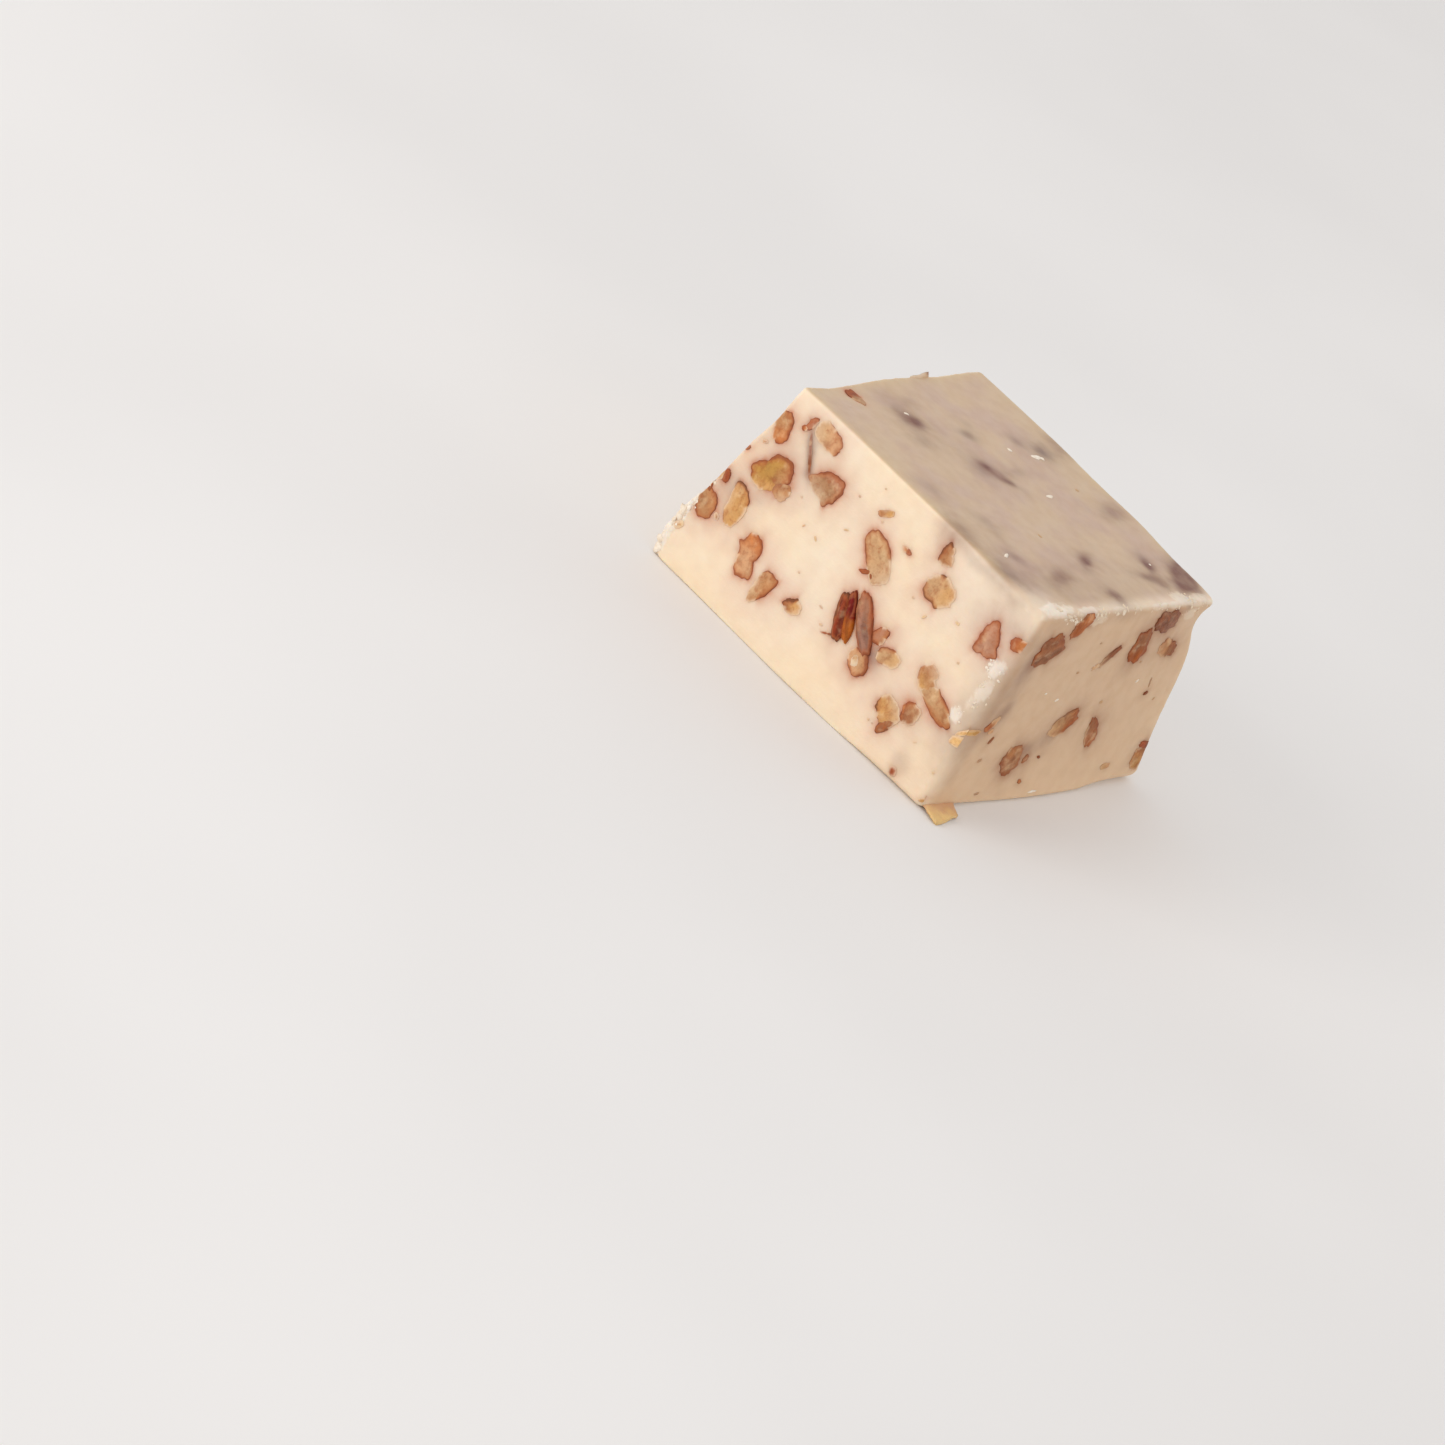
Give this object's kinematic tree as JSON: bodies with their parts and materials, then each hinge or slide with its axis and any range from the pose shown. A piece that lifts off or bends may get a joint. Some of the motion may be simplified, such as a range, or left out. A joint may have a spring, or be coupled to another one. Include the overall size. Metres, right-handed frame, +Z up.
{
  "type": "pecan fudge piece",
  "caption": "One hand-cut block of cream-coloured fudge with chopped pecans in its cut faces, resting flat on its base.",
  "frame": {"origin": "middle of the piece's outer box at its base, where the flat base rests", "axes": "+Z up from the flat base; -Y out of the long front face with the most pecans; +X out of the right-hand end face"},
  "size_m": [0.064, 0.06, 0.0359],
  "materials": {
    "fudge": "smooth, slightly waxy cream, cut by hand",
    "pecan": "cut nut meat, tan to red-brown, with dark skin at the rim",
    "pecan_pale": "cut nut meat, pale gold to beige",
    "pecan_skin": "glossy dark mahogany skin of the nut"
  },
  "bodies": {
    "root": {"fudge": "fudge", "pecan_back_01": "pecan", "pecan_back_02": "pecan", "pecan_back_03": "pecan", "pecan_back_04": "pecan", "pecan_back_05": "pecan", "pecan_back_06": "pecan", "pecan_back_07": "pecan", "pecan_back_08": "pecan", "pecan_base_01": "pecan", "pecan_base_02": "pecan", "pecan_base_03": "pecan", "pecan_base_04": "pecan", "pecan_end_01": "pecan", "pecan_end_02": "pecan", "pecan_end_03": "pecan_skin", "pecan_end_04": "pecan", "pecan_end_05": "pecan", "pecan_end_06": "pecan", "pecan_end_07": "pecan", "pecan_end_08": "pecan", "pecan_end_09": "pecan", "pecan_far_01": "pecan", "pecan_far_02": "pecan", "pecan_far_03": "pecan", "pecan_far_04": "pecan", "pecan_far_05": "pecan", "pecan_flake_corner": "pecan_pale", "pecan_flake_top": "pecan_pale", "pecan_front_01": "pecan", "pecan_front_02": "pecan_pale", "pecan_front_03": "pecan_pale", "pecan_front_04": "pecan", "pecan_front_05": "pecan", "pecan_front_06": "pecan_pale", "pecan_front_07": "pecan", "pecan_front_08": "pecan", "pecan_front_09": "pecan", "pecan_front_10": "pecan_pale", "pecan_front_11": "pecan_skin", "pecan_front_12": "pecan", "pecan_front_13": "pecan_pale", "pecan_front_14": "pecan", "pecan_front_15": "pecan_pale", "pecan_front_16": "pecan", "pecan_front_17": "pecan", "pecan_front_18": "pecan", "pecan_front_19": "pecan"}
  },
  "joints": []
}
